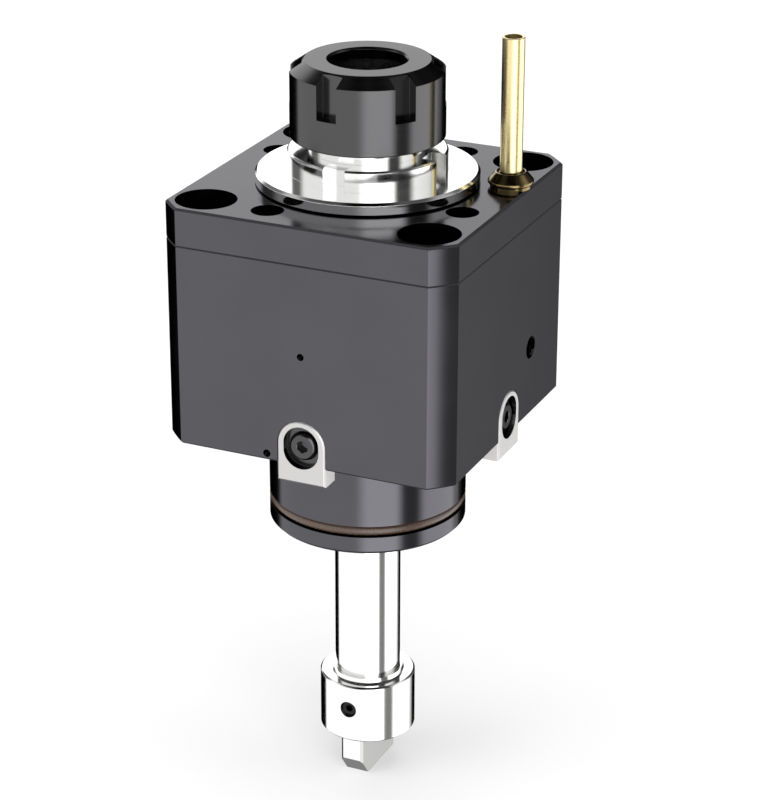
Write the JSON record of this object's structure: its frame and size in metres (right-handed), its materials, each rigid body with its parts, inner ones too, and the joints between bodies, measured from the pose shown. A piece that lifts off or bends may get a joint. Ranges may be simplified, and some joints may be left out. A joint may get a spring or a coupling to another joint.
{
  "type": "axial driven tool holder",
  "caption": "Square-block live tool holder with a centring spigot, side locating keys, bearing-mounted collet spindle, tang drive and swivelling coolant tube.",
  "frame": {"origin": "on the spigot's axis, in the mounting face that rests on the turret", "axes": "+Z along the spindle towards the cutting tool; -Y out of the side with the two small drillings; +X out of the side with the coolant plug"},
  "size_m": [0.085, 0.0844, 0.2196],
  "materials": {
    "housing_steel": "black oxide coated alloy steel, satin",
    "ground_steel": "ground and polished steel",
    "bearing_steel": "ground bearing steel",
    "blackened_steel": "black oxide coated screw steel",
    "nut_steel": "black oxide coated turned steel",
    "key_steel": "ground tool steel",
    "rubber": "nitrile rubber, matt",
    "brown_rubber": "brown fluoro rubber, satin",
    "brass": "drawn brass",
    "dark_bronze": "darkened bronze, polished",
    "cage_brass": "machined brass",
    "spring_steel": "spring steel, oiled"
  },
  "bodies": {
    "housing": {"bearing_outer_spacer": "bearing_steel", "coolant_plug": "blackened_steel", "cover_o_ring": "rubber", "cover_screws": "blackened_steel", "front_cover": "housing_steel", "front_seal_spring": "spring_steel", "front_shaft_seal": "rubber", "housing_body": "housing_steel", "inlet_o_ring": "rubber", "key_screws": "blackened_steel", "locating_key_back": "key_steel", "locating_key_front": "key_steel", "locating_key_left": "key_steel", "locating_key_right": "key_steel", "lower_bearing_outer_ring": "bearing_steel", "nozzle_body": "dark_bronze", "nozzle_cap": "dark_bronze", "nozzle_seal": "rubber", "rear_bearing_outer_ring": "bearing_steel", "rear_seal_spring": "spring_steel", "rear_shaft_seal": "rubber", "rear_snap_ring": "spring_steel", "riser_o_ring": "rubber", "spigot_o_ring": "brown_rubber", "upper_bearing_outer_ring": "bearing_steel"},
    "spindle": {"spindle_shaft": "ground_steel", "bearing_locknut": "blackened_steel", "locknut_screws": "blackened_steel", "drive_coupling": "ground_steel", "coupling_set_screw": "blackened_steel", "shaft_key": "key_steel", "shaft_snap_ring": "spring_steel", "bearing_inner_spacer": "bearing_steel", "upper_bearing_inner_ring": "bearing_steel", "lower_bearing_inner_ring": "bearing_steel", "rear_bearing_inner_ring": "bearing_steel"},
    "upper_cage": {"upper_bearing_cage": "cage_brass", "upper_bearing_balls": "ground_steel"},
    "lower_cage": {"lower_bearing_cage": "cage_brass", "lower_bearing_balls": "ground_steel"},
    "rear_cage": {"rear_bearing_cage": "cage_brass", "rear_bearing_balls": "ground_steel"},
    "extractor": {"nut_extractor_ring": "spring_steel"},
    "nut": {"collet_nut": "nut_steel"},
    "nozzle": {"nozzle_ball": "dark_bronze", "coolant_tube": "brass"}
  },
  "joints": [
    {"name": "spindle_spin", "type": "hinge", "parent": "housing", "child": "spindle", "pos_m": [0, 0, 0], "axis": [0, 0, 1], "continuous": true},
    {"name": "upper_cage_spin", "type": "hinge", "parent": "housing", "child": "upper_cage", "pos_m": [0, 0, 0.0475], "axis": [0, 0, 1], "continuous": true},
    {"name": "lower_cage_spin", "type": "hinge", "parent": "housing", "child": "lower_cage", "pos_m": [0, 0, 0.023], "axis": [0, 0, 1], "continuous": true},
    {"name": "rear_cage_spin", "type": "hinge", "parent": "housing", "child": "rear_cage", "pos_m": [0, 0, -0.0171], "axis": [0, 0, 1], "continuous": true},
    {"name": "nut_lift", "type": "slide", "parent": "spindle", "child": "extractor", "axis": [0, 0, 1], "range_m": [0, 0.006]},
    {"name": "nut_turn", "type": "hinge", "parent": "extractor", "child": "nut", "pos_m": [0, 0, 0.09], "axis": [0, 0, 1], "range_deg": [0, 1440]},
    {"name": "nozzle_tilt", "type": "hinge", "parent": "housing", "child": "nozzle", "pos_m": [0.0366, 0.0115, 0.0685], "axis": [-0.2998, 0.954, 0], "range_deg": [-12, 12]}
  ],
  "couplings": [
    {"joint": "upper_cage_spin", "follows": "spindle_spin", "ratio": 0.4213},
    {"joint": "lower_cage_spin", "follows": "spindle_spin", "ratio": 0.4213},
    {"joint": "rear_cage_spin", "follows": "spindle_spin", "ratio": 0.4},
    {"joint": "nut_lift", "follows": "nut_turn", "m_per_rad": 0.00023873}
  ]
}
